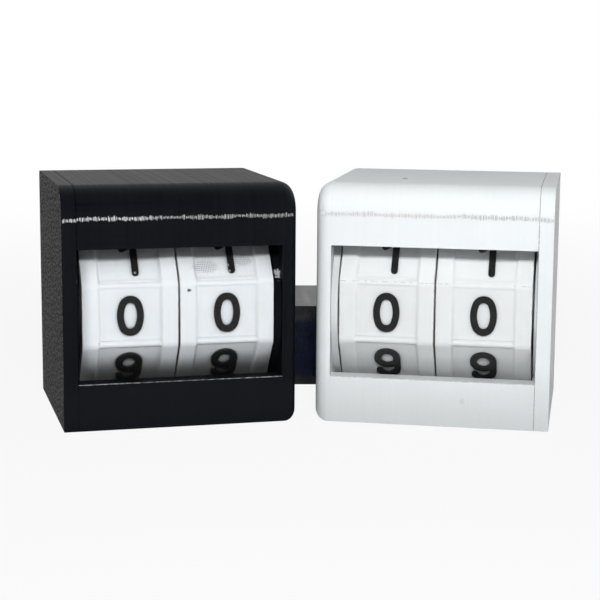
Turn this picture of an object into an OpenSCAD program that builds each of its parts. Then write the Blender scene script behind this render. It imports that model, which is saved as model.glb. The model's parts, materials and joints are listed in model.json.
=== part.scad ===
// Pair of two-digit wheel counters, toed in towards each other and joined by a bar.
// Millimetres. Z is up, the windows face -Y, and the origin is under the middle of the pair.

/* [Number wheels] */
// Distance across opposite flats of a ten-sided wheel
wheel_flats = 39; // [36:0.5:40]
// Width of one wheel
wheel_w = 19.6; // [17:0.2:22]
// Running gap between the two wheels
wheel_gap = 0.5; // [0.5:0.05:0.8]
// Width of the sunk number panel on each flat
panel_w = 12.8; // [9:0.2:14]
// Depth of the sunk number panel
panel_recess = 0.5; // [0.5:0.05:0.8]
// Height above the panels of the low lands between them
land_h = 0.15; // [0.1:0.05:0.3]
// Width of the land left on each flat beside a corner
corner_land = 0.5; // [0.4:0.1:0.8]
// Outer radius of the hub
hub_r = 7; // [6:0.5:9]
// Wall of the rim, measured in from the flats
rim_t = 3.5; // [2.5:0.5:5]
// Depth of the hollow in each end of the wheel
hollow_depth = 6; // [3:0.5:7]

/* [Numerals] */
// Height of a numeral
digit_h = 8.2; // [7:0.1:9.4]
// Width of a numeral
digit_w = 5.5; // [5:0.1:6.2]
// Width of a stroke
stroke = 1.4; // [1:0.1:1.6]
// Height of the numerals above their panel
relief = 0.4; // [0.2:0.05:0.45]

/* [Axle] */
// Diameter of the fixed axle
axle_d = 6; // [5:0.5:8]
// Radial running clearance of a wheel on the axle
axle_clear = 0.06; // [0.03:0.01:0.1]
// Depth of the axle's socket in the cover
cover_socket = 1.8; // [1:0.1:2]
// Depth of the axle's socket in the closed end
end_socket = 2; // [1:0.1:2.4]
// Thickness of a thrust washer
washer_t = 0.4; // [0.3:0.02:0.4]
// Outer radius of a thrust washer
washer_r = 5.5; // [5:0.25:6]

/* [Housing] */
// Thickness of the flat end cover
cover_t = 3; // [2.4:0.1:4]
// Thickness of the closed end
end_wall = 3.4; // [3:0.1:4.5]
// Space between the cover and the wheels
cover_gap = 1.05; // [0.9:0.05:1.6]
// Space between the wheels and the closed end
end_gap = 1.85; // [1:0.05:2.5]
// How far the front flats lie behind the front of the housing
setback = 0.5; // [0.3:0.1:2]
// Gap between the turning corners of a wheel and the round chamber
corner_clear = 0.5; // [0.3:0.05:0.8]
// Wall under the chamber
floor_t = 2.5; // [1.6:0.1:4]
// Wall over the chamber
roof_t = 5.5; // [4:0.1:8]
// Wall behind the chamber
rear_t = 2; // [1.4:0.1:4]
// Height of the window
window_h = 27.6; // [22:0.2:30]
// Radius of the long top edge at the front
front_r = 6; // [4:0.5:8]
// Radius of the long top edge at the rear
rear_r = 1.2; // [0.6:0.1:2]
// Radius round the closed end
end_r = 3; // [1.5:0.1:3]
// How far the collars beside the wheels lie inside the wheels' flats
collar_inset = 0.4; // [0.3:0.1:4]
// Clearance between the cover's locating rim and the chamber
rim_clear = 0.1; // [0.05:0.05:0.2]
// Height of the cover's locating rim
rim_h = 0.7; // [0.4:0.05:0.8]
// Width of the cover's locating rim
rim_w = 2.4; // [1.6:0.2:4]

/* [Click springs] */
// Thickness of a leaf spring
leaf_t = 0.4; // [0.3:0.05:0.5]
// Width of a leaf spring
leaf_w = 2.8; // [2:0.2:3]
// Length of a leaf spring
leaf_l = 17; // [15.5:0.5:18]
// Clearance of a leaf in its slots
leaf_clear = 0.1; // [0.05:0.05:0.2]

/* [Pair] */
// Angle that each counter is turned in
toe_in = 12.5; // [5:0.5:20]
// Gap between the closed ends, measured at their front corners
pair_gap = 3.3; // [2:0.1:8]
// Height of the link bar
link_h = 18.5; // [12:0.5:24]
// Depth of the link bar behind the housings
link_d = 25.5; // [10:0.5:40]
// How far the bar reaches forwards between the closed ends
link_reach = 6.4; // [2:0.2:12]
// Length of the bar's seat on the flat back of each housing
link_seat = 16; // [8:1:30]
// Cut on the bar's rear corners
link_chamfer = 3; // [1:0.5:6]

/* [Hidden] */

$fn = 96;
BLACK = -1;
WHITE = 1;

// A wheel has ten flats, one for each numeral.
flats = 10;
step = 360 / flats;
wheel_a = wheel_flats / 2;
wheel_r = wheel_a / cos(step / 2);
floor_a = wheel_a - panel_recess;
land_a = floor_a + land_h;
flat_h = 2 * land_a * tan(step / 2);
axle_r = axle_d / 2;
bore_r = axle_r + axle_clear;

// Places along one counter, from the outside of its cover to its closed end
chamber_x0 = cover_t;
wheel_x = [cover_t + cover_gap, cover_t + cover_gap + wheel_w + wheel_gap];
chamber_x1 = wheel_x[1] + wheel_w + end_gap;
body_w = chamber_x1 + end_wall;

// Places in one counter's side view, from its front and its underside
chamber_r = wheel_r + corner_clear;
axle_y = setback + wheel_a;
axle_z = floor_t + chamber_r;
body_d = axle_y + chamber_r + rear_t;
body_h = axle_z + chamber_r + roof_t;
window_z = axle_z - window_h / 2;

// The washers float with this much room on each side.
washer_play = 0.05;
cover_collar = cover_gap - washer_t - 2 * washer_play;
end_collar = end_gap - washer_t - 2 * washer_play;
collar_r = wheel_a - collar_inset;
socket_fit = 0.03;
axle_end_play = 0.1;

// The leaf springs lie against the third flat up from the window.
leaf_angle = 3 * step;
leaf_touch = 0.05;
rim_band = (wheel_w - panel_w) / 2;

// The pair's layout, before it is centred
half_span = pair_gap / 2 + body_w * cos(toe_in);
function on_black(x, y) = [
    x * cos(toe_in) - y * sin(toe_in) - half_span,
    x * sin(toe_in) + y * cos(toe_in)
];
link_inner = on_black(body_w, body_d);
link_outer = on_black(body_w - end_r - link_seat, body_d);
link_back = link_inner[1] + link_d;

// Spare length for cuts that run past a face
past = 1;

// Placing

module counter(side) {
    if (side == WHITE) {
        mirror([1, 0, 0]) black_place() children();
    } else {
        black_place() children();
    }
}

module black_place() {
    translate([-half_span, -link_back / 2, 0])
        rotate([0, 0, toe_in])
            children();
}

// Extrudes a side view, drawn as depth and height, from x0 to x1 along the counter.
module along(x0, x1) {
    translate([x0, 0, 0])
        rotate([90, 0, 90])
            linear_extrude(x1 - x0)
                children();
}

// A cylinder on the axle's line, from x0 to x1
module on_axle(x0, x1, r) {
    translate([x0, axle_y, axle_z])
        rotate([0, 90, 0])
            cylinder(h = x1 - x0, r = r);
}

// Turns children from the front flat up and over to a later flat.
module at_flat(angle) {
    translate([0, axle_y, axle_z])
        rotate([-angle, 0, 0])
            children();
}

// Housing

module rounded_top(front, rear) {
    difference() {
        square([body_d, body_h]);
        translate([-past, body_h - front])
            square([front + past, front + past]);
        translate([body_d - rear, body_h - rear])
            square([rear + past, rear + past]);
    }
    if (front > 0)
        translate([front, body_h - front])
            circle(front);
    translate([body_d - rear, body_h - rear])
        circle(rear);
}

// A rectangle from x0 to the closed end whose two far corners are rounded
module closed_end_outline(x0, height) {
    translate([x0, 0])
        square([body_w - end_r - x0, height]);
    translate([x0, end_r])
        square([body_w - x0, height - 2 * end_r]);
    for (y = [end_r, height - end_r])
        translate([body_w - end_r, y])
            circle(end_r);
}

// The long front edge, which turns the corner into the closed end as part of a ring
module front_edge(x0) {
    intersection() {
        translate([x0, front_r, body_h - front_r])
            rotate([0, 90, 0])
                rotate_extrude() {
                    square([front_r, body_w - x0 - end_r]);
                    square([front_r - end_r, body_w - x0]);
                    intersection() {
                        translate([front_r - end_r, body_w - x0 - end_r])
                            circle(end_r);
                        square([front_r, body_w - x0]);
                    }
                }
        translate([x0 - past, 0, body_h - front_r])
            cube([body_w - x0 + 2 * past, front_r, front_r]);
    }
}

module housing_outside() {
    difference() {
        intersection() {
            along(chamber_x0, body_w) rounded_top(0, rear_r);
            linear_extrude(body_h)
                closed_end_outline(chamber_x0, body_d);
            translate([0, body_d, 0])
                rotate([90, 0, 0])
                    linear_extrude(body_d)
                        closed_end_outline(chamber_x0, body_h);
        }
        translate([chamber_x0 - past, -past, body_h - front_r])
            cube([body_w, front_r + past, front_r + past]);
    }
    front_edge(chamber_x0);
}

module leaf_slot() {
    slot_l = leaf_l + 2 * leaf_clear;
    slot_t = leaf_t + 2 * leaf_clear;
    at_flat(leaf_angle)
        translate([chamber_x0 - past, -wheel_a - leaf_touch - leaf_t - leaf_clear, -slot_l / 2])
            cube([chamber_x1 - chamber_x0 + past, slot_t, slot_l]);
}

module housing(side) {
    color(side == BLACK ? "#202226" : "#eceeee")
        counter(side)
            difference() {
                union() {
                    difference() {
                        housing_outside();
                        on_axle(chamber_x0 - past, chamber_x1, chamber_r);
                        translate([chamber_x0 - past, -past, window_z])
                            cube([chamber_x1 - chamber_x0 + past, axle_y + past, window_h]);
                        leaf_slot();
                    }
                    on_axle(chamber_x1 - end_collar, chamber_x1 + past, collar_r);
                }
                on_axle(chamber_x1 - end_collar - past, chamber_x1 + end_socket, axle_r + socket_fit);
            }
}

// The cover's rim fits the chamber and stops short of the window.
module locating_rim() {
    difference() {
        on_axle(cover_t - past, cover_t + rim_h, chamber_r - rim_clear);
        on_axle(cover_t - 2 * past, cover_t + rim_h + past, chamber_r - rim_clear - rim_w);
        translate([cover_t - 2 * past, -chamber_r, window_z])
            cube([rim_h + 3 * past, axle_y + chamber_r, window_h]);
    }
}

module end_cover(side) {
    color(side == BLACK ? "#2a2c30" : "#e6e8e8")
        counter(side)
            difference() {
                union() {
                    along(0, cover_t) rounded_top(front_r, rear_r);
                    locating_rim();
                    on_axle(cover_t - past, cover_t + cover_collar, collar_r);
                }
                on_axle(cover_t - cover_socket, cover_t + cover_collar + past, axle_r + socket_fit);
            }
}

// Axle and washers

module axle(side) {
    color("#d8d8d4")
        counter(side)
            on_axle(
                cover_t - cover_socket + axle_end_play,
                chamber_x1 + end_socket - axle_end_play,
                axle_r
            );
}

module thrust_washers(side) {
    starts = [
        wheel_x[0] - washer_play - washer_t,
        wheel_x[0] + wheel_w + (wheel_gap - washer_t) / 2,
        wheel_x[1] + wheel_w + washer_play
    ];
    color("#c8c8c4")
        counter(side)
            for (x = starts)
                difference() {
                    on_axle(x, x + washer_t, washer_r);
                    on_axle(x - past, x + washer_t + past, bore_r);
                }
}

// Number wheels

// The ten-sided middle of a wheel, with a panel sunk in each flat; its ends are inside the two rims.
module wheel_middle(from_x, to_x) {
    difference() {
        on_axle(from_x, to_x, land_a / cos(step / 2), $fn = flats);
        for (k = [0 : flats - 1])
            at_flat(k * step)
                translate([from_x - past, -land_a - past, -flat_h / 2 + corner_land])
                    cube([to_x - from_x + 2 * past, land_h + past, flat_h - 2 * corner_land]);
    }
}

// A slot is 0 beside the cover or 1 beside the closed end.
// Two plain rims stand proud of the panels and of the low lands at the corners.
module number_wheel(side, slot) {
    x0 = wheel_x[slot];
    x1 = x0 + wheel_w;
    color("#f2f3f2")
        counter(side)
            difference() {
                union() {
                    wheel_middle(x0 + rim_band / 2, x1 - rim_band / 2);
                    for (x = [x0, x1 - rim_band])
                        on_axle(x, x + rim_band, wheel_r, $fn = flats);
                }
                wheel_hollow(x0 - past, x0 + hollow_depth);
                wheel_hollow(x1 - hollow_depth, x1 + past);
                on_axle(x0 - past, x1 + past, bore_r);
            }
}

module wheel_hollow(x0, x1) {
    difference() {
        on_axle(x0, x1, wheel_a - rim_t);
        on_axle(x0 - past, x1 + past, hub_r);
    }
}

// A leaf spring is a straight strip whose ends lie in the housing's slot.
// It rests on the plain rim of a wheel, clear of the numerals.
module click_spring(side, slot) {
    inset = (rim_band - leaf_w) / 2;
    x0 = slot == 0 ? wheel_x[0] + inset : wheel_x[1] + wheel_w - inset - leaf_w;
    color("#a8acb0")
        counter(side)
            at_flat(leaf_angle)
                translate([x0, -wheel_a - leaf_touch - leaf_t, -leaf_l / 2])
                    cube([leaf_w, leaf_t, leaf_l]);
}

// Numerals, drawn as round-ended strokes about the middle of their panel

half_w = (digit_w - stroke) / 2;
half_h = (digit_h - stroke) / 2;
pen = stroke / 2;

module dot(p) {
    translate(p) circle(pen);
}

module bar(p, q) {
    run = q - p;
    translate(p)
        rotate(atan2(run[1], run[0]))
            translate([0, -pen])
                square([norm(run), stroke]);
    dot(p);
    dot(q);
}

// Part of a ring about c with round ends, from angle a0 anticlockwise to a1
module bow(c, r, a0, a1) {
    reach = 2 * (r + pen);
    turns = ceil((a1 - a0) / 60);
    wedge = [for (i = [0 : turns]) let (a = a0 + (a1 - a0) * i / turns) reach * [cos(a), sin(a)]];
    translate(c)
        intersection() {
            difference() {
                circle(r + pen);
                circle(r - pen);
            }
            polygon(concat([[0, 0]], wedge));
        }
    for (a = [a0, a1])
        dot(c + r * [cos(a), sin(a)]);
}

module loop(c, r) {
    translate(c)
        difference() {
            circle(r + pen);
            circle(r - pen);
        }
}

// Four arcs that meet smoothly make the 0.
module oval(outset) {
    tip_r = 0.84 * half_w;
    tip_y = half_h - tip_r;
    side_r = (half_w * half_w + tip_y * tip_y - tip_r * tip_r) / (2 * (half_w - tip_r));
    side_x = side_r - half_w;
    join = atan2(tip_y, side_x);
    join_y = tip_y + (tip_r + outset) * sin(join);
    for (s = [-1, 1])
        translate([0, s * tip_y])
            circle(tip_r + outset);
    intersection() {
        translate([-side_x, 0])
            circle(side_r + outset);
        translate([side_x, 0])
            circle(side_r + outset);
        translate([-digit_w, -join_y])
            square([2 * digit_w, 2 * join_y]);
    }
}

module numeral(n) {
    upper_r = 0.47 * half_h;
    lower_r = half_h - upper_r;
    upper = [0, half_h - upper_r];
    lower = [0, lower_r - half_h];
    if (n == 0) difference() {
        oval(pen);
        oval(-pen);
    }
    if (n == 1) {
        bar([0.65 * half_w, -half_h], [0.65 * half_w, half_h]);
        bar([0.65 * half_w, half_h], [-0.5 * half_w, 0.66 * half_h]);
    }
    if (n == 2) {
        turn = -30;
        c = [0, half_h - half_w];
        bow(c, half_w, turn, 160);
        bar(c + half_w * [cos(turn), sin(turn)], [-half_w, -half_h]);
        bar([-half_w, -half_h], [half_w, -half_h]);
    }
    if (n == 3) {
        bow(upper, upper_r, -90, 150);
        bow(lower, lower_r, -150, 90);
    }
    if (n == 4) {
        bar([0.5 * half_w, -half_h], [0.5 * half_w, half_h]);
        bar([-half_w, -0.4 * half_h], [half_w, -0.4 * half_h]);
        bar([-half_w, -0.4 * half_h], [0.5 * half_w, half_h]);
    }
    if (n == 5) {
        c = [0, half_w - half_h];
        start = 125;
        knee = c + half_w * [cos(start), sin(start)];
        bow(c, half_w, -150, start);
        bar(knee, [knee[0], half_h]);
        bar([knee[0], half_h], [0.85 * half_w, half_h]);
    }
    if (n == 6) rotate(180) nine();
    if (n == 7) {
        bar([-half_w, half_h], [half_w, half_h]);
        bar([half_w, half_h], [-0.35 * half_w, -half_h]);
    }
    if (n == 8) {
        loop(upper, upper_r);
        loop(lower, lower_r);
    }
    if (n == 9) nine();
}

module nine() {
    loop([0, half_h - half_w], half_w);
    bar([half_w, half_h - half_w], [half_w, half_w - half_h]);
    bow([0, half_w - half_h], half_w, -150, 0);
}

module wheel_numerals(side, slot) {
    middle = wheel_x[slot] + wheel_w / 2;
    color("#1c1c1e")
        counter(side)
            for (k = [0 : flats - 1])
                at_flat(k * step)
                    translate([middle, -floor_a, 0])
                        rotate([90, 0, 0])
                            linear_extrude(relief)
                                mirror([side == WHITE ? 1 : 0, 0])
                                    numeral(k);
}

// Link bar. Its outline starts inside both housings, which are then cut away,
// so that it seats on their backs and between their closed ends.

module link_bar() {
    half_l = -link_outer[0];
    outer_y = link_outer[1] - past;
    inside = on_black(body_w - past, body_d - past);
    color("#1a1b1e")
        linear_extrude(link_h)
            difference() {
                translate([0, -link_back / 2]) {
                    polygon([
                        [-half_l, outer_y],
                        inside,
                        [-inside[0], inside[1]],
                        [half_l, outer_y],
                        [half_l, link_back - link_chamfer],
                        [half_l - link_chamfer, link_back],
                        [link_chamfer - half_l, link_back],
                        [-half_l, link_back - link_chamfer]
                    ]);
                    translate([inside[0], link_inner[1] - link_reach])
                        square([-2 * inside[0], link_reach]);
                }
                for (side = [BLACK, WHITE])
                    counter(side)
                        square([body_w, body_d]);
            }
}

link_bar();
housing(BLACK);  // black_housing
end_cover(BLACK);  // black_end_cover
axle(BLACK);  // black_axle
thrust_washers(BLACK);  // black_thrust_washers
number_wheel(BLACK, 0);  // black_tens_wheel
wheel_numerals(BLACK, 0);  // black_tens_numerals
click_spring(BLACK, 0);  // black_tens_click_spring
number_wheel(BLACK, 1);  // black_units_wheel
wheel_numerals(BLACK, 1);  // black_units_numerals
click_spring(BLACK, 1);  // black_units_click_spring
housing(WHITE);  // white_housing
end_cover(WHITE);  // white_end_cover
axle(WHITE);  // white_axle
thrust_washers(WHITE);  // white_thrust_washers
number_wheel(WHITE, 1);  // white_tens_wheel
wheel_numerals(WHITE, 1);  // white_tens_numerals
click_spring(WHITE, 1);  // white_tens_click_spring
number_wheel(WHITE, 0);  // white_units_wheel
wheel_numerals(WHITE, 0);  // white_units_numerals
click_spring(WHITE, 0);  // white_units_click_spring
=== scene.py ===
# Looks of a tabletop scoreboard: two printed counters with turning number wheels, joined by a bar.
import json
import math
import random

import bmesh
import bpy
from mathutils import Euler, Matrix, Vector

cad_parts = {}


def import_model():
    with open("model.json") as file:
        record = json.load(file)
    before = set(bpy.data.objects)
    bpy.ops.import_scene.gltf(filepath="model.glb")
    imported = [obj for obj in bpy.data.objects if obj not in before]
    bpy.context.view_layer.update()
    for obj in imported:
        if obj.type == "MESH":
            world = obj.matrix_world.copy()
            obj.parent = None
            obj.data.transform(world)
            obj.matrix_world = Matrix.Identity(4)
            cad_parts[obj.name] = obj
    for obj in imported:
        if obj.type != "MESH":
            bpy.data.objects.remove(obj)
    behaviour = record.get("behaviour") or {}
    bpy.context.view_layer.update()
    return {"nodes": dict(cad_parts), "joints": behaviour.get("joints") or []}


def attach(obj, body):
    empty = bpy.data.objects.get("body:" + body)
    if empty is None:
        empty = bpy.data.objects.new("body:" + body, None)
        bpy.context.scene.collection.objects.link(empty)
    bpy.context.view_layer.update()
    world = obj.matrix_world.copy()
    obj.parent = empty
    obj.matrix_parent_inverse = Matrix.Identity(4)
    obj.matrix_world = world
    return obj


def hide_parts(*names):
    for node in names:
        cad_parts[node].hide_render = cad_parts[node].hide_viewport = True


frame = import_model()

MM = 0.001

# Sizes of one counter in millimetres: across from its cover, back from its front, up from the table
BODY_W = 49.0
BODY_H = 50.007
COVER_T = 3.0
END_WALL = 3.4
FRONT_R = 6.0
END_R = 3.0
WHEEL_W = 19.6
WHEEL_GAP = 0.5
TENS_MIDDLE = 13.85
UNITS_MIDDLE = TENS_MIDDLE + WHEEL_W + WHEEL_GAP
AXLE_Y = 20.0
AXLE_Z = 23.5035
WHEEL_A = 19.5
WINDOW_HALF = 13.8
BAR_H = 18.5
SILL_W = AXLE_Z - WINDOW_HALF
WINDOW_U = (COVER_T + BODY_W - END_WALL) / 2
WINDOW_LENGTH = BODY_W - END_WALL - COVER_T
LAYER = 0.2

# Sizes of one wheel in millimetres, the same as the CAD wheel's
FLATS = 10
STEP = 2 * math.pi / FLATS
RIM_BAND = 3.4
LAND_A = 19.15
LAND_H = 0.15
CORNER_LAND = 0.5
HOLLOW_R = 16.0
HOLLOW_DEPTH = 6.0
HUB_R = 7.0
BORE_R = 3.06

# Soft edges of the wheel's drawn form, in millimetres
RIM_EDGE = 0.12
RIM_FLARE = 0.08
RIM_CORNER = 2.6
LAND_CORNER = 1.2
RIM_SLOPE = 0.8
LAND_SLOPE = 0.5
RIDGE_UP = 1.15
RIDGE_H = 0.07
RIDGE_HALF = 0.12
HUB_BEVEL = 0.25

# The row of beads along the front, in millimetres
BEAD_DEPTH = 0.09
BEAD_OUT = 0.03
SEAM_DROP = 0.25

# Camera: place from the black counter's corner and focal length in millimetres, angles in degrees
CAMERA_PLACE = Vector((35.3, -320.93, 79.48))
CAMERA_DOWN = 9.21
CAMERA_TURN = -2.22
CAMERA_ROLL = 0.42
CAMERA_LENS = 96.74

# Half the floor's width in metres, and how far it lies below the object in millimetres
FLOOR_HALF = 4.0
FLOOR_DROP = 0.02

# Name, azimuth and elevation in degrees, distance and size in metres, level, whether it shows in gloss
LAMPS = [
    ("key", 0, 31, 0.36, 0.055, 0.785, False),
    ("fill", -4, 6, 0.9, 0.5, 0.03, True),
    ("left", -80, 2, 0.9, 0.6, 0.3, False),
    ("right", 80, 2, 0.9, 0.6, 0.42, False),
    ("rear_left", -136, 2, 0.9, 0.5, 0.55, False),
    ("rear_right", 136, 2, 0.9, 0.5, 0.55, False),
]

joints = {j["name"]: j for j in frame["joints"]}
toe_in = math.atan2(joints["black_tens_turn"]["axis"][1], joints["black_tens_turn"]["axis"][0])
axle_point = Vector(joints["black_tens_turn"]["pos_m"]) / MM
to_row = Matrix.Rotation(toe_in, 3, "Z")
black_corner = axle_point - to_row @ Vector((TENS_MIDDLE, AXLE_Y, AXLE_Z))

# Helpers


def place(side, u, v, w):
    """A point of one counter, given across, back and up in millimetres, in the row frame in metres."""
    p = black_corner + to_row @ Vector((u, v, w))
    if side == "white":
        p.x = -p.x
    return p * MM


def mesh_piece(name, mesh, body, material):
    """Adds a new piece that moves with a body."""
    obj = bpy.data.objects.new(name, mesh)
    bpy.context.scene.collection.objects.link(obj)
    obj.data.materials.append(material)
    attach(obj, body)
    return obj


def soften(obj, width):
    """Rounds the sharp edges of a CAD node by a width in millimetres, as its plastic really has them."""
    weld = obj.modifiers.new("weld", "WELD")
    weld.merge_threshold = 0.001 * MM
    bevel = obj.modifiers.new("bevel", "BEVEL")
    bevel.width = width * MM
    bevel.segments = 3
    bevel.limit_method = "ANGLE"
    bevel.angle_limit = math.radians(25)
    bevel.miter_outer = "MITER_ARC"
    normals = obj.modifiers.new("normals", "WEIGHTED_NORMAL")
    normals.weight = 80


class Paint:
    """A material and short calls for the nodes that it is made of."""

    def __init__(self, name):
        self.material = bpy.data.materials.new(name)
        self.material.use_nodes = True
        self.tree = self.material.node_tree
        self.shader = self.tree.nodes["Principled BSDF"]

    def node(self, kind, **settings):
        made = self.tree.nodes.new("ShaderNode" + kind)
        for key, value in settings.items():
            setattr(made, key, value)
        return made

    def feed(self, socket, value):
        if isinstance(value, bpy.types.NodeSocket):
            self.tree.links.new(value, socket)
        else:
            socket.default_value = value

    def math(self, operation, *values, clamp=False):
        made = self.node("Math", operation=operation, use_clamp=clamp)
        for socket, value in zip(made.inputs, values):
            self.feed(socket, value)
        return made.outputs[0]

    def local(self, side):
        """The counter's own place in millimetres: across, back and up, as a vector."""
        mirror = -1 if side == "white" else 1
        scale = 1 / MM
        origin = to_row.inverted() @ black_corner
        mapping = self.node("Mapping")
        mapping.inputs["Scale"].default_value = (mirror * scale, scale, scale)
        mapping.inputs["Rotation"].default_value = (0, 0, -toe_in)
        mapping.inputs["Location"].default_value = -origin
        self.feed(mapping.inputs["Vector"], self.node("TexCoord").outputs["Object"])
        return mapping.outputs[0]

    def split(self, vector):
        made = self.node("SeparateXYZ")
        self.feed(made.inputs[0], vector)
        return made.outputs

    def noise(self, vector, scale, detail=2.0, roughness=0.5):
        made = self.node("TexNoise")
        self.feed(made.inputs["Vector"], vector)
        self.feed(made.inputs["Scale"], scale)
        self.feed(made.inputs["Detail"], detail)
        self.feed(made.inputs["Roughness"], roughness)
        return made.outputs[0]

    def line_noise(self, value, scale, detail=2.0):
        made = self.node("TexNoise", noise_dimensions="1D")
        self.feed(made.inputs["W"], value)
        self.feed(made.inputs["Scale"], scale)
        self.feed(made.inputs["Detail"], detail)
        return made.outputs[0]

    def between(self, value, low, high, to_low=0.0, to_high=1.0):
        """Maps low..high smoothly to to_low..to_high."""
        made = self.node("MapRange", interpolation_type="SMOOTHSTEP")
        for socket, number in zip(made.inputs, (value, low, high, to_low, to_high)):
            self.feed(socket, number)
        return made.outputs[0]

    def line_at(self, value, middle, half_width, soft=0.05):
        """1 on a line where value is near middle, 0 elsewhere."""
        off = self.math("ABSOLUTE", self.math("SUBTRACT", value, middle))
        return self.between(off, half_width, half_width + soft, 1.0, 0.0)

    def patch(self, vector, middle, radii, ragged=0.5):
        """1 in a ragged oval patch about a place, 0 elsewhere."""
        off = self.node("VectorMath", operation="SUBTRACT")
        self.feed(off.inputs[0], vector)
        off.inputs[1].default_value = middle
        share = self.node("VectorMath", operation="DIVIDE")
        self.feed(share.inputs[0], off.outputs[0])
        share.inputs[1].default_value = radii
        far = self.node("VectorMath", operation="LENGTH")
        self.feed(far.inputs[0], share.outputs[0])
        uneven = self.math("SUBTRACT", self.noise(vector, 2.2, 3.0, 0.7), 0.5)
        rough = self.math("MULTIPLY", uneven, 4 * ragged)
        return self.between(self.math("ADD", far.outputs["Value"], rough), 0.6, 1.0, 1.0, 0.0)

    def openness(self, distance):
        """How open a place is, 0 to 1, where only what is nearer than a distance in millimetres hides it."""
        made = self.node("AmbientOcclusion", samples=4)
        made.inputs["Distance"].default_value = distance * MM
        return made.outputs["AO"]

    def mix(self, factor, a, b):
        made = self.node("Mix", data_type="RGBA")
        self.feed(made.inputs["Factor"], factor)
        for socket, colour in ((made.inputs[6], a), (made.inputs[7], b)):
            self.feed(socket, colour)
        return made.outputs[2]

    def bump(self, height, distance, normal=None):
        """Raises the surface by height, where 1 is the given distance in millimetres."""
        made = self.node("Bump")
        self.feed(made.inputs["Distance"], distance * MM)
        self.feed(made.inputs["Height"], height)
        if normal is not None:
            self.feed(made.inputs["Normal"], normal)
        return made.outputs[0]

    def set(self, **values):
        names = {
            "colour": "Base Color",
            "roughness": "Roughness",
            "normal": "Normal",
            "specular": "Specular IOR Level",
            "subsurface": "Subsurface Weight",
            "subsurface_scale": "Subsurface Scale",
            "subsurface_radius": "Subsurface Radius",
            "metallic": "Metallic",
        }
        for key, value in values.items():
            self.feed(self.shader.inputs[names[key]], value)


def grey(level, tint=(0, 0, 0)):
    return (level + tint[0], level + tint[1], level + tint[2], 1)


# Materials


def layered(paint, across):
    """Height and tone of the print's layers, which are stacked across the counter, none quite alike."""
    index = paint.math("FLOOR", paint.math("DIVIDE", across, LAYER))
    odd = paint.node("TexWhiteNoise", noise_dimensions="1D")
    paint.feed(odd.inputs["W"], index)
    slow = paint.line_noise(across, 1.3, 4.0)
    height = paint.math("ADD", paint.math("MULTIPLY", odd.outputs["Value"], 0.35), slow)
    return height, odd.outputs["Value"]


def case_plastic(side, tones, roughness, specular, stripe):
    """Printed plastic of a housing and its cover, with its own tones, seams and spots, and painted light and
    shade in places.
    """
    paint = Paint(f"{side}_case_plastic")
    place_in = paint.local(side)
    u, v, w = paint.split(place_in)
    height, odd = layered(paint, u)
    outer_face = paint.math("LESS_THAN", u, 0.02)
    stretch = paint.node("VectorMath", operation="MULTIPLY")
    paint.feed(stretch.inputs[0], place_in)
    stretch.inputs[1].default_value = (1, 0.42, 1)
    pebble = paint.noise(stretch.outputs[0], 1.8, 3.0, 0.65)
    grain = paint.noise(place_in, 6.0, 2.0)
    drift = paint.noise(place_in, 0.12, 2.0)
    wall_line = paint.line_at(u, BODY_W - END_WALL, 0.1, 0.25)
    bands = paint.between(paint.line_noise(u, 1.1, 3.0), 0.35, 0.7)
    lines = paint.between(w, BODY_H - 0.4, BODY_H - 0.1, stripe, 0.3 * stripe)
    tone = paint.mix(paint.math("MULTIPLY", odd, lines), tones["body"], tones["line"])
    tone = paint.mix(paint.math("MULTIPLY", bands, lines), tone, tones["line"])
    tone = paint.mix(paint.between(drift, 0.35, 0.7, 0.0, 0.35), tone, tones["line"])
    tone = paint.mix(paint.math("MULTIPLY", wall_line, 0.35), tone, tones["line"])
    # On the black covers the light pebbles are partly the face's own speckle and partly painted sheen,
    # standing in for glints off the pebbled face.
    pebbles = paint.mix(paint.between(pebble, 0.42, 0.6), tones["pebble_low"], tones["pebble_high"])
    tone = paint.mix(outer_face, tone, pebbles)
    joint = paint.math("MULTIPLY", paint.line_at(u, COVER_T, 0.05, 0.06), tones["joint"][1])
    specks = paint.between(paint.noise(place_in, 1.6, 2.0), 0.35, 0.5, 0.4, 1.0)
    joint = paint.math("MULTIPLY", joint, specks)
    tone = paint.mix(joint, tone, tones["joint"][0])
    # Painted highlight, partly real wear: a dashed line along the sill's front edge, lighter on the black
    # case; on the white case the line is darker.
    edge = paint.math("MULTIPLY", paint.line_at(w, SILL_W, 0.1, 0.1), paint.math("LESS_THAN", v, 0.25))
    edge = paint.math("MULTIPLY", edge, paint.line_at(u, WINDOW_U, WINDOW_LENGTH / 2 - 0.1, 0.1))
    dashes = paint.between(paint.line_noise(u, 0.9, 3.0), 0.3, 0.6, 0.25, 1.0)
    tone = paint.mix(paint.math("MULTIPLY", edge, dashes), tone, tones["worn"])
    # Patches of other tone; on the black case one of them is painted light along the lower front.
    for middle, radii, ragged, patch_tone in tones["patches"]:
        tone = paint.mix(paint.patch(place_in, middle, radii, ragged), tone, patch_tone)
    # Painted shade: the white case darker where little is open round it, near the floor, inside the chamber
    # and in corners.
    if side == "white":
        tone = paint.mix(paint.between(paint.openness(15.0), 0.45, 1.0, 0.32, 0.0), tone, grey(0.1))
    rough = paint.math("ADD", paint.math("MULTIPLY", odd, 0.08), roughness)
    rough = paint.math("ADD", rough, paint.math("MULTIPLY", outer_face, 0.2))
    rough = paint.math("ADD", rough, paint.math("MULTIPLY", joint, 0.4), clamp=True)
    normal = paint.bump(height, 0.006)
    normal = paint.bump(grain, 0.008, normal)
    normal = paint.bump(paint.math("MULTIPLY", pebble, outer_face), 0.3, normal)
    paint.set(colour=tone, roughness=rough, normal=normal, specular=specular)
    if side == "white":
        paint.set(subsurface=0.3, subsurface_scale=0.8 * MM, subsurface_radius=(1.0, 1.0, 1.0))
    return paint


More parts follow.
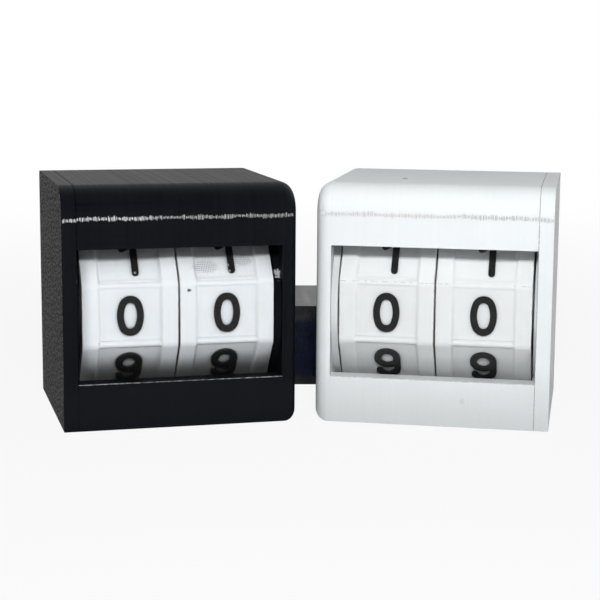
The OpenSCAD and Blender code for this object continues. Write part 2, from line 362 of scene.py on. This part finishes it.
def seam_plastic(side, low, high):
    """The row of printed starts and stops along the front, each bead its own tone: painted glints on the
    black beads, partly their scuffed plastic, and painted shade on the white ones.
    """
    paint = Paint(f"{side}_seam_plastic")
    place_in = paint.local(side)
    u = paint.split(place_in)[0]
    ticks = paint.between(paint.line_noise(u, 3.6, 2.0), 0.36, 0.64, 0.08, 1.0)
    # The painted glints and shade are strongest near 9 mm across and weaker further along.
    strong = paint.between(paint.math("ABSOLUTE", paint.math("SUBTRACT", u, 9.0)), 5.0, 15.0, 1.0, 0.6)
    share = paint.math("MULTIPLY", ticks, strong)
    tone = paint.mix(share, grey(low), grey(high))
    normal = paint.bump(paint.noise(place_in, 4.0), 0.02)
    paint.set(colour=tone, roughness=0.45, normal=normal, specular=0.2)
    return paint


def wheel_plastic(side):
    """White plastic of the wheels, with painted shade in its recesses, round the numerals, deep in the
    window and towards the bottom, painted shade between the wheels, and the scuffs, scratches and spots of
    each counter's wheels.
    """
    paint = Paint(f"{side}_wheel_plastic")
    place_in = paint.local(side)
    u, v, w = paint.split(place_in)
    height, odd = layered(paint, u)
    mottle = paint.noise(place_in, 0.35, 3.0)
    tint = (-0.04, 0, 0.03) if side == "black" else (-0.022, 0, 0.008)
    tone = paint.mix(paint.math("MULTIPLY", odd, 0.2), grey(0.83, tint), grey(0.78, tint))
    tone = paint.mix(paint.between(mottle, 0.4, 0.7, 0.0, 0.3), tone, grey(0.78))
    # Painted shade: darker where little is open round the surface, more so lower down and deep in the
    # window, and more on the black counter's wheels than on the white one's.
    near, above, below = (0.3, 0.55, 0.97) if side == "black" else (0.22, 0.14, 0.38)
    deep = paint.between(w, 14.0, 30.0, below, above)
    near = paint.between(w, 20.0, 29.0, near, 0.4 * near)
    hidden = paint.between(paint.openness(10.0), 0.3, 0.85, 1.0, 0.0)
    tone = paint.mix(paint.between(paint.openness(1.3), 0.5, 1.0, near, 0.0), tone, grey(0.2))
    tone = paint.mix(paint.math("MULTIPLY", hidden, deep), tone, grey(0.08))
    # Painted shade between the wheels: their ends darker and warm, as in the narrow gap where light comes
    # through the plastic.
    for middle in (TENS_MIDDLE, UNITS_MIDDLE):
        off = paint.math("ABSOLUTE", paint.math("SUBTRACT", u, middle))
        gap_shade = paint.between(paint.noise(place_in, 0.9, 2.0), 0.35, 0.65, 0.1, 0.8)
        gap_shade = paint.math("MULTIPLY", gap_shade, paint.line_at(off, WHEEL_W / 2, 0.02, 0.04))
        tone = paint.mix(gap_shade, tone, (0.3, 0.24, 0.18, 1))
    if side == "black":
        left = paint.patch(place_in, (29.8, 3.2, 32.8), (3.3, 2.4, 1.6), 0.3)
        right = paint.patch(place_in, (37.7, 4.0, 33.8), (2.6, 2.0, 1.4), 0.3)
        across = paint.math("SINE", paint.math("MULTIPLY", paint.math("ADD", u, w), 8.5))
        along = paint.math("SINE", paint.math("MULTIPLY", paint.math("SUBTRACT", u, w), 8.5))
        hatch = paint.between(paint.math("MULTIPLY", across, along), -0.2, 0.5)
        worn = paint.math("MULTIPLY", paint.math("MAXIMUM", left, right), 0.9)
        tone = paint.mix(paint.math("MULTIPLY", worn, hatch), tone, grey(0.28))
        # Painted shadow: the black counter's wheels darker near the window's edge by the cover, as in that
        # edge's shadow.
        tone = paint.mix(paint.between(u, 3.9, 6.4, 0.42, 0.0), tone, grey(0.25, (-0.02, 0, 0.02)))
        fleck = paint.patch(place_in, (25.9, 0.5, 28.4), (0.5, 0.5, 0.35), 0.5)
        tone = paint.mix(fleck, tone, grey(0.12))
    else:
        scratch = paint.line_at(w, 29.9, 0.04, 0.06)
        broken = paint.between(paint.line_noise(u, 0.8, 3.0), 0.45, 0.55)
        off = paint.math("ABSOLUTE", paint.math("SUBTRACT", u, TENS_MIDDLE))
        near_rim = paint.math("GREATER_THAN", off, 6.0)
        scratch = paint.math("MULTIPLY", scratch, paint.math("MULTIPLY", broken, near_rim))
        scratch = paint.math("MULTIPLY", scratch, paint.math("LESS_THAN", v, 5.0))
        tone = paint.mix(paint.math("MULTIPLY", scratch, 0.5), tone, grey(0.35))
    normal = paint.bump(height, 0.01)
    normal = paint.bump(paint.noise(place_in, 5.0, 2.0), 0.012, normal)
    paint.set(colour=tone, roughness=0.5, normal=normal, specular=0.25)
    paint.set(subsurface=0.45, subsurface_scale=0.9 * MM, subsurface_radius=(1.0, 0.95, 0.9))
    return paint


def numeral_plastic():
    """Black plastic of the numerals, with painted highlights at the foot of the black counter's ones."""
    paint = Paint("numeral_plastic")
    spot = paint.node("TexCoord").outputs["Object"]
    grain = paint.noise(spot, 3500.0, 3.0)
    tone = paint.mix(paint.between(grain, 0.35, 0.7), grey(0.006), grey(0.018))
    place_in = paint.local("black")
    # Painted highlights on the stems of the black counter's ones
    for middle in ((34.62, 3.0, 33.1), (34.76, 2.15, 31.95), (15.05, 2.3, 32.1)):
        tone = paint.mix(paint.patch(place_in, middle, (0.3, 0.4, 0.3), 0.2), tone, grey(0.3))
    paint.set(colour=tone, roughness=0.42, normal=paint.bump(grain, 0.02))
    return paint


def bar_plastic():
    """Smooth dark plastic of the bar: navy in the middle, greyer along its top as painted sheen, and greyer
    along its foot.
    """
    paint = Paint("bar_plastic")
    spot = paint.node("TexCoord").outputs["Object"]
    up = paint.math("DIVIDE", paint.split(spot)[2], MM)
    along = paint.node("VectorMath", operation="MULTIPLY")
    paint.feed(along.inputs[0], spot)
    along.inputs[1].default_value = (1, 0.06, 0.3)
    ripple = paint.noise(along.outputs[0], 260.0, 3.0)
    cloud = paint.noise(spot, 270.0, 3.0, 0.6)
    navy = paint.mix(paint.between(cloud, 0.3, 0.65), (0.003, 0.004, 0.011, 1), (0.004, 0.007, 0.03, 1))
    sheen_grey = paint.mix(paint.between(cloud, 0.35, 0.65), grey(0.018), grey(0.042))
    # Painted sheen: the bar greyer along its top, where the light reflects; its foot is greyer too.
    upper = paint.between(up, BAR_H - 4.2, BAR_H - 2.6, 0.0, 0.95)
    foot = paint.between(up, 1.2, 2.6, 0.8, 0.0)
    tone = paint.mix(paint.math("MAXIMUM", upper, foot), navy, sheen_grey)
    rough = paint.between(ripple, 0.3, 0.7, 0.36, 0.22)
    paint.set(colour=tone, roughness=rough, normal=paint.bump(ripple, 0.04), specular=0.43)
    return paint


def plain_plastic(name, level):
    """Pale plastic of a hidden piece."""
    paint = Paint(name)
    spot = paint.node("TexCoord").outputs["Object"]
    grain = paint.noise(spot, 900.0, 3.0)
    tone = paint.mix(grain, grey(level), grey(level * 0.85))
    paint.set(colour=tone, roughness=0.5, normal=paint.bump(grain, 0.01))
    return paint


def spring_steel():
    paint = Paint("spring_steel")
    spot = paint.node("TexCoord").outputs["Object"]
    grain = paint.noise(spot, 1500.0, 4.0)
    tone = paint.mix(grain, grey(0.5), grey(0.62))
    paint.set(colour=tone, roughness=0.3, metallic=1.0, normal=paint.bump(grain, 0.004))
    return paint


BLACK_TONES = {
    "body": (0.0026, 0.0031, 0.0048, 1),
    "line": (0.0072, 0.008, 0.0105, 1),
    "pebble_low": grey(0.001),
    # Partly painted sheen: the light pebbles of the black covers also stand in for glints off the pebbled
    # face
    "pebble_high": grey(0.115),
    # Painted highlight along the black sill's front edge, partly real wear
    "worn": grey(0.42),
    "joint": (grey(0.0), 1.0),
    "patches": [
        ((44.95, 2.5, 31.1), (0.8, 1.4, 1.0), 0.8, grey(0.36)),
        ((45.1, 3.2, 29.6), (0.6, 1.2, 0.7), 0.6, grey(0.2)),
        ((3.3, 0.1, 30.9), (0.5, 0.6, 0.45), 0.3, grey(0.16)),
        # Painted light: the lower front and sill a little lighter, as lit by light thrown up from the floor
        ((24.0, 0.0, 4.5), (42.0, 3.0, 6.5), 0.15, (0.006, 0.0068, 0.0095, 1)),
    ],
}
WHITE_TONES = {
    "body": grey(0.86, (-0.035, 0, 0.015)),
    "line": grey(0.82, (-0.03, 0, 0.012)),
    "pebble_low": grey(0.68),
    "pebble_high": grey(0.8),
    "worn": grey(0.62),
    "joint": (grey(0.3), 0.75),
    "patches": [
        ((32.4, 17.0, 50.0), (0.7, 1.7, 0.5), 0.6, grey(0.42)),
        ((17.8, 0.1, 5.5), (0.5, 0.5, 0.8), 0.7, grey(0.74)),
    ],
}

paints = {
    "black_case": case_plastic("black", BLACK_TONES, 0.42, 0.14, 0.3),
    "white_case": case_plastic("white", WHITE_TONES, 0.5, 0.12, 0.2),
    # Painted glints on the black beads, and painted shade on the white ones
    "black_seam": seam_plastic("black", 0.01, 0.85),
    "white_seam": seam_plastic("white", 0.86, 0.5),
    "black_wheel": wheel_plastic("black"),
    "white_wheel": wheel_plastic("white"),
    "numeral": numeral_plastic(),
    "bar": bar_plastic(),
    "axle": plain_plastic("axle_plastic", 0.6),
    "washer": plain_plastic("washer_plastic", 0.68),
    "steel": spring_steel(),
}


def dress(node, paint, edge=0.0):
    """Gives a CAD node its material, and soft edges of a width in millimetres."""
    obj = frame["nodes"][node]
    obj.data.materials.clear()
    obj.data.materials.append(paints[paint].material)
    if edge > 0:
        soften(obj, edge)


dress("link_bar", "bar", 0.3)
for side in ("black", "white"):
    dress(f"{side}_housing", f"{side}_case", 0.14)
    dress(f"{side}_end_cover", f"{side}_case", 0.14)
    dress(f"{side}_axle", "axle")
    dress(f"{side}_thrust_washers", "washer")
    for wheel_name in ("tens", "units"):
        dress(f"{side}_{wheel_name}_numerals", "numeral", 0.2)
        dress(f"{side}_{wheel_name}_click_spring", "steel")

# The wheels, with the soft edges of the real ones


def ease(x):
    """Goes smoothly from 0 to 1 as x does, and stays there beyond."""
    x = min(max(x, 0.0), 1.0)
    return x * x * (3 - 2 * x)


def reach(apothem, corner_r, turn):
    """Distance from the axle to a ten-sided outline with round corners, at a turn from a flat's middle."""
    turn = abs(turn)
    half = STEP / 2
    if math.tan(turn) * apothem <= (apothem - corner_r) * math.tan(half):
        return apothem / math.cos(turn)
    centre = (apothem - corner_r) / math.cos(half)
    off = half - turn
    return centre * math.cos(off) + math.sqrt(corner_r**2 - (centre * math.sin(off)) ** 2)


def wheel_reach(inward, turn):
    """The wheel's outer surface, at a distance inward from its nearer end.

    The rims flare a little past the ends, and a fine raised line runs across each panel above its
    lower edge.
    """
    rim = reach(WHEEL_A, RIM_CORNER, turn)
    edge = max(0.0, 1 - (inward + RIM_FLARE) / RIM_EDGE)
    rim -= RIM_EDGE * (1 - math.sqrt(1 - edge**2))
    from_corner = LAND_A * (math.tan(STEP / 2) - math.tan(abs(turn)))
    panel = ease((from_corner - CORNER_LAND) / LAND_SLOPE + 0.5)
    middle = reach(LAND_A, LAND_CORNER, turn) - LAND_H * panel
    if turn < 0:
        middle += RIDGE_H * ease(1 - abs(from_corner - RIDGE_UP) / RIDGE_HALF)
    return rim + (middle - rim) * ease((inward - RIM_BAND + RIM_SLOPE / 2) / RIM_SLOPE)


def wheel(side, name, middle):
    """A ring of points for each step of the wheel's profile, from its bore round its outside and back."""
    from_corner = [0, 0.09, 0.17, 0.25, 0.31, 0.37, 0.44, 0.5, 0.56, 0.63, 0.69, 0.75, 0.85]
    from_corner += [1.03, 1.09, 1.15, 1.21, 1.27, 2.0, 4.0]
    half_flat = LAND_A * math.tan(STEP / 2)
    turns = [math.atan((half_flat - c) / LAND_A) for c in from_corner]
    turns = [-t for t in turns] + [0.0] + turns[:0:-1]
    angles = [(k * STEP + t, t) for k in range(FLATS) for t in turns]
    half_w = WHEEL_W / 2
    inner = [(0, BORE_R), (0, HUB_R - HUB_BEVEL), (HUB_BEVEL, HUB_R), (HOLLOW_DEPTH, HUB_R)]
    inner += [(HOLLOW_DEPTH, HOLLOW_R), (HUB_BEVEL, HOLLOW_R), (0, HOLLOW_R + HUB_BEVEL)]
    outer = [-RIM_FLARE, -0.07, -0.055, -0.03, 0, RIM_EDGE - RIM_FLARE, 1.5, 2.6]
    outer += [3.0, 3.12, 3.22, 3.31, 3.4, 3.49, 3.58, 3.68, 3.8, 4.2, 6.5]
    near = [(inward, None) for inward in outer]
    profile = [(inward - half_w, r, inward) for inward, r in inner + near]
    profile += [(0.0, None, half_w)]
    profile += [(-u, r, inward) for u, r, inward in profile[-2::-1]]
    points = []
    for u, r, inward in profile:
        for angle, turn in angles:
            out = wheel_reach(inward, turn) if r is None else r
            back = AXLE_Y - out * math.cos(angle)
            up = AXLE_Z + out * math.sin(angle)
            points.append(place(side, middle + u, back, up))
    n = len(angles)
    rings = len(profile)
    faces = []
    for i in range(rings):
        for j in range(n):
            a, b = i * n + j, i * n + (j + 1) % n
            c, d = (i + 1) % rings * n + (j + 1) % n, (i + 1) % rings * n + j
            faces.append((a, b, c, d))
    mesh = bpy.data.meshes.new(f"{side}_{name}_wheel_form")
    mesh.from_pydata(points, [], faces)
    if side == "black":
        mesh.flip_normals()
    mesh.shade_smooth()
    mesh.set_sharp_from_angle(angle=math.radians(40))
    material = paints[f"{side}_wheel"].material
    piece = mesh_piece(mesh.name, mesh, f"{side}_{name}", material)
    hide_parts(f"{side}_{name}_wheel")


wheel("black", "tens", TENS_MIDDLE)
wheel("black", "units", UNITS_MIDDLE)
wheel("white", "units", TENS_MIDDLE)
wheel("white", "tens", UNITS_MIDDLE)

# The printed seam along the front


def bead():
    """Corners and faces of a small round bead of radius 1."""
    mesh = bmesh.new()
    bmesh.ops.create_icosphere(mesh, subdivisions=2, radius=1.0)
    corners = [v.co.copy() for v in mesh.verts]
    faces = [[v.index for v in f.verts] for f in mesh.faces]
    mesh.free()
    return corners, faces


def front_depth(u, w):
    """How far back the front surface is at a place, on the flat or on a rounded edge."""
    over = max(0.0, w - (BODY_H - FRONT_R))
    past = max(0.0, u - (BODY_W - END_R))
    return FRONT_R - math.sqrt(FRONT_R**2 - over**2) + END_R - math.sqrt(END_R**2 - past**2)


def seam(side, start):
    """A ragged row of upright beads, where the printer starts and stops its layers."""
    chance = random.Random(f"{side} seam")
    corners, faces = bead()
    points = []
    loops = []
    wander = 0.0
    tall = 0.4
    for k in range(1, int((BODY_W - 1) / LAYER)):
        u = (k + 0.5) * LAYER
        wander = 0.9 * wander + chance.uniform(-0.04, 0.04)
        drop = SEAM_DROP if u < COVER_T else 0.0
        if chance.random() < 0.45:
            tall = chance.uniform(0.25, 0.62)
        half = Vector((0.48 * LAYER, BEAD_DEPTH, tall + chance.uniform(-0.06, 0.06)))
        w = start - drop + wander + chance.uniform(-0.1, 0.1)
        middle = Vector((u, front_depth(u, w) + BEAD_OUT, w))
        first = len(points)
        for corner in corners:
            points.append(place(side, *(middle + Vector(c * h for c, h in zip(corner, half)))))
        loops += [[first + i for i in face] for face in faces]
    mesh = bpy.data.meshes.new(f"{side}_seam")
    mesh.from_pydata(points, [], loops)
    if side == "white":
        mesh.flip_normals()
    mesh.shade_smooth()
    material = paints[f"{side}_seam"].material
    mesh_piece(f"{side}_seam", mesh, "fixed_parts", material)


seam("black", 43.5)
seam("white", 43.85)

# Floor, lamps and camera


def floor():
    """A pale floor, just under the object, that is white to the camera and keeps the object's shadow."""
    mesh = bpy.data.meshes.new("floor")
    corners = [(-1, -1, 0), (1, -1, 0), (1, 1, 0), (-1, 1, 0)]
    mesh.from_pydata([Vector(c) * FLOOR_HALF for c in corners], [], [(0, 1, 2, 3)])
    obj = bpy.data.objects.new("floor", mesh)
    bpy.context.scene.collection.objects.link(obj)
    obj.location.z = -FLOOR_DROP * MM
    paint = Paint("floor")
    paint.set(colour=grey(0.5), roughness=0.9, specular=0.0)
    glow = paint.node("Emission")
    glow.inputs["Strength"].default_value = 1.0
    seen = paint.node("LightPath").outputs["Is Camera Ray"]
    spot = paint.node("TexCoord").outputs["Object"]
    away = paint.node("VectorMath", operation="LENGTH")
    paint.feed(away.inputs[0], spot)
    share = paint.between(away.outputs["Value"], 0.06, 0.5, 0.9, 1.0)
    add = paint.node("MixShader")
    paint.feed(add.inputs[0], paint.math("MULTIPLY", seen, share))
    paint.feed(add.inputs[1], paint.shader.outputs[0])
    paint.feed(add.inputs[2], glow.outputs[0])
    paint.feed(paint.tree.nodes["Material Output"].inputs["Surface"], add.outputs[0])
    mesh.materials.append(paint.material)


def world():
    """White to the camera, pale behind the object in reflections, and dim grey light from all round."""
    made = bpy.data.worlds.new("studio")
    bpy.context.scene.world = made
    made.use_nodes = True
    tree = made.node_tree
    nodes, links = tree.nodes, tree.links
    soft = nodes["Background"]
    soft.inputs["Color"].default_value = grey(0.9)
    soft.inputs["Strength"].default_value = 0.06
    white = nodes.new("ShaderNodeBackground")
    white.inputs["Color"].default_value = grey(1.0)
    path = nodes.new("ShaderNodeLightPath")
    towards = nodes.new("ShaderNodeSeparateXYZ")
    links.new(nodes.new("ShaderNodeTexCoord").outputs["Generated"], towards.inputs[0])
    behind = nodes.new("ShaderNodeMapRange")
    behind.inputs["From Min"].default_value = -0.2
    behind.inputs["From Max"].default_value = 0.6
    behind.inputs["To Min"].default_value = 0.08
    behind.inputs["To Max"].default_value = 0.72
    links.new(towards.outputs["Y"], behind.inputs["Value"])
    glossy = nodes.new("ShaderNodeMath")
    glossy.operation = "MULTIPLY"
    links.new(path.outputs["Is Glossy Ray"], glossy.inputs[0])
    links.new(behind.outputs[0], glossy.inputs[1])
    most = nodes.new("ShaderNodeMath")
    most.operation = "MAXIMUM"
    links.new(path.outputs["Is Camera Ray"], most.inputs[0])
    links.new(glossy.outputs[0], most.inputs[1])
    mix = nodes.new("ShaderNodeMixShader")
    links.new(most.outputs[0], mix.inputs[0])
    links.new(soft.outputs[0], mix.inputs[1])
    links.new(white.outputs[0], mix.inputs[2])
    links.new(mix.outputs[0], nodes["World Output"].inputs["Surface"])


def lamp(name, azimuth, elevation, distance, size, level, in_gloss):
    """A square soft light that faces the object. Azimuth 0 is in front, and positive is to the right.

    A level of 1 shows a surface that squarely faces the lamp in its own colour.
    """
    data = bpy.data.lights.new(name, "AREA")
    data.size = size
    data.energy = level * (math.pi * distance) ** 2
    obj = bpy.data.objects.new(name, data)
    bpy.context.scene.collection.objects.link(obj)
    turn = math.radians(azimuth)
    lift = math.radians(elevation)
    away = Vector((math.sin(turn) * math.cos(lift), -math.cos(turn) * math.cos(lift), math.sin(lift)))
    target = Vector((0, 0, 25 * MM))
    obj.location = target + away * distance
    obj.rotation_euler = away.to_track_quat("Z", "Y").to_euler()
    obj.visible_glossy = in_gloss
    obj.visible_camera = False


def camera():
    """The viewing angle that a fit to both counters' corners gave."""
    data = bpy.data.cameras.new("camera")
    data.sensor_width = 36.0
    data.lens = CAMERA_LENS
    obj = bpy.data.objects.new("camera", data)
    bpy.context.scene.collection.objects.link(obj)
    obj.location = (black_corner + CAMERA_PLACE) * MM
    pitch = math.radians(90 - CAMERA_DOWN)
    heading = math.radians(CAMERA_TURN)
    roll = Matrix.Rotation(math.radians(CAMERA_ROLL), 3, "Z")
    obj.rotation_euler = (Euler((pitch, 0, heading)).to_matrix() @ roll).to_euler()
    bpy.context.scene.camera = obj


floor()
world()
for values in LAMPS:
    lamp(*values)
camera()
bpy.context.scene.view_settings.view_transform = "Standard"
